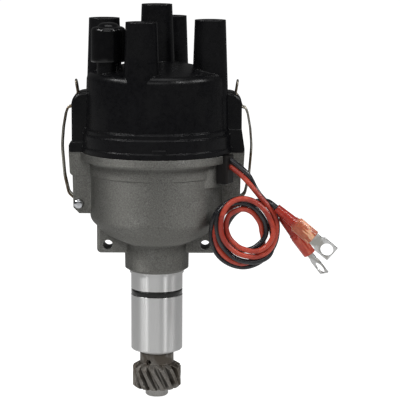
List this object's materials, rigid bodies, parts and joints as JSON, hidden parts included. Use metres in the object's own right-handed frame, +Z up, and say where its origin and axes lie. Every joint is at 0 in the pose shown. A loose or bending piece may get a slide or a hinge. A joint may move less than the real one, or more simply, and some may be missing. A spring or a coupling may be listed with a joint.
{
  "type": "ignition distributor",
  "caption": "Engine ignition distributor with a moulded cap, wire clips, cast bowl, O-ringed pilot, helical drive gear and coiled leads.",
  "frame": {"origin": "on the pilot's axis, in the plane of the shoulder that seats on the engine", "axes": "+Z up the shaft towards the cap, +X towards the clip beside the leads, -Y towards the lead side"},
  "size_m": [0.1502, 0.0846, 0.218],
  "materials": {
    "cast_housing": "sand-textured cast aluminium, pilot and rim turned bright",
    "bronze": "oiled sintered bronze",
    "black_rubber": "smooth black rubber",
    "cap_plastic": "black moulded phenolic with a soft shine",
    "tinned_brass": "bright tinned brass",
    "spring_steel": "drawn wire with a pale zinc finish",
    "steel": "turned and ground steel",
    "plated_steel": "bright zinc plate",
    "gear_steel": "dark oiled hardened steel",
    "module_epoxy": "matt potting resin",
    "magnet": "bonded ferrite",
    "rotor_plastic": "brown moulded phenolic",
    "carbon": "pressed carbon",
    "felt": "oiled felt",
    "fibre": "vulcanised fibre",
    "red_wire": "red PVC insulation",
    "black_wire": "black PVC insulation",
    "coiled_leads": "red and black insulated leads wound together",
    "red_nylon": "translucent orange-red insulating sleeve"
  },
  "bodies": {
    "body": {"housing": "cast_housing", "upper_bushing": "bronze", "lower_bushing": "bronze", "o_ring": "black_rubber", "distributor_cap": "cap_plastic", "plug_terminals": "tinned_brass", "coil_terminal": "tinned_brass", "vent_cap": "cap_plastic", "brush_spring": "spring_steel", "module_plate": "steel", "plate_screws": "plated_steel", "ignition_module": "module_epoxy", "module_screws": "plated_steel", "module_leads": "coiled_leads", "lead_grommet": "black_rubber", "clip_pin_left": "plated_steel", "clip_pin_right": "plated_steel", "red_lead": "red_wire", "black_lead": "black_wire", "lead_coil": "coiled_leads", "red_lead_tail": "red_wire", "black_lead_tail": "black_wire", "red_lead_sleeve": "red_nylon", "black_lead_sleeve": "red_nylon", "red_lead_ring": "tinned_brass", "black_lead_ring": "tinned_brass"},
    "shaft": {"main_shaft": "steel", "weight_base_plate": "steel", "weight_pivot_pins": "steel", "pivot_clips": "spring_steel", "sleeve_circlip": "spring_steel", "upper_thrust_washer": "fibre", "lower_thrust_washer": "steel", "drive_gear": "gear_steel", "gear_pin": "steel", "advance_springs": "spring_steel"},
    "cam": {"advance_yoke": "steel", "cam_sleeve": "steel", "felt_wick": "felt", "magnet_ring": "magnet", "rotor": "rotor_plastic", "rotor_electrode": "tinned_brass", "rotor_contact_spring": "tinned_brass"},
    "weight_a": {"advance_weight_a": "steel"},
    "weight_b": {"advance_weight_b": "steel"},
    "brush": {"carbon_brush": "carbon"},
    "clip_left": {"clip_left": "spring_steel"},
    "clip_right": {"clip_right": "spring_steel"}
  },
  "joints": [
    {"name": "shaft_spin", "type": "hinge", "parent": "body", "child": "shaft", "pos_m": [0, 0, 0], "axis": [0, 0, -1], "continuous": true},
    {"name": "cam_advance", "type": "hinge", "parent": "shaft", "child": "cam", "pos_m": [0, 0, 0.03535], "axis": [0, 0, -1], "range_deg": [0, 10.5], "stiffness_Nm_per_rad": 0.02, "springref_deg": -5.73, "deforming": ["advance_springs"]},
    {"name": "weight_a_swing", "type": "hinge", "parent": "shaft", "child": "weight_a", "pos_m": [0.018, 0, 0.03495], "axis": [0, 0, 1], "range_deg": [0, 14.8]},
    {"name": "weight_b_swing", "type": "hinge", "parent": "shaft", "child": "weight_b", "pos_m": [-0.018, 0, 0.03495], "axis": [0, 0, 1], "range_deg": [0, 14.8]},
    {"name": "brush_slide", "type": "slide", "parent": "body", "child": "brush", "axis": [0, 0, 1], "range_m": [0, 0.0015], "stiffness_N_per_m": 20, "springref_m": -0.003, "deforming": ["brush_spring"]},
    {"name": "clip_left_swing", "type": "hinge", "parent": "body", "child": "clip_left", "pos_m": [-0.0426, 0, 0.0391], "axis": [0, -1, 0], "range_deg": [0, 150]},
    {"name": "clip_right_swing", "type": "hinge", "parent": "body", "child": "clip_right", "pos_m": [0.0426, 0, 0.0391], "axis": [0, 1, 0], "range_deg": [0, 150]}
  ],
  "couplings": [
    {"joint": "weight_a_swing", "follows": "cam_advance", "ratio": 1.4},
    {"joint": "weight_b_swing", "follows": "cam_advance", "ratio": 1.4}
  ]
}
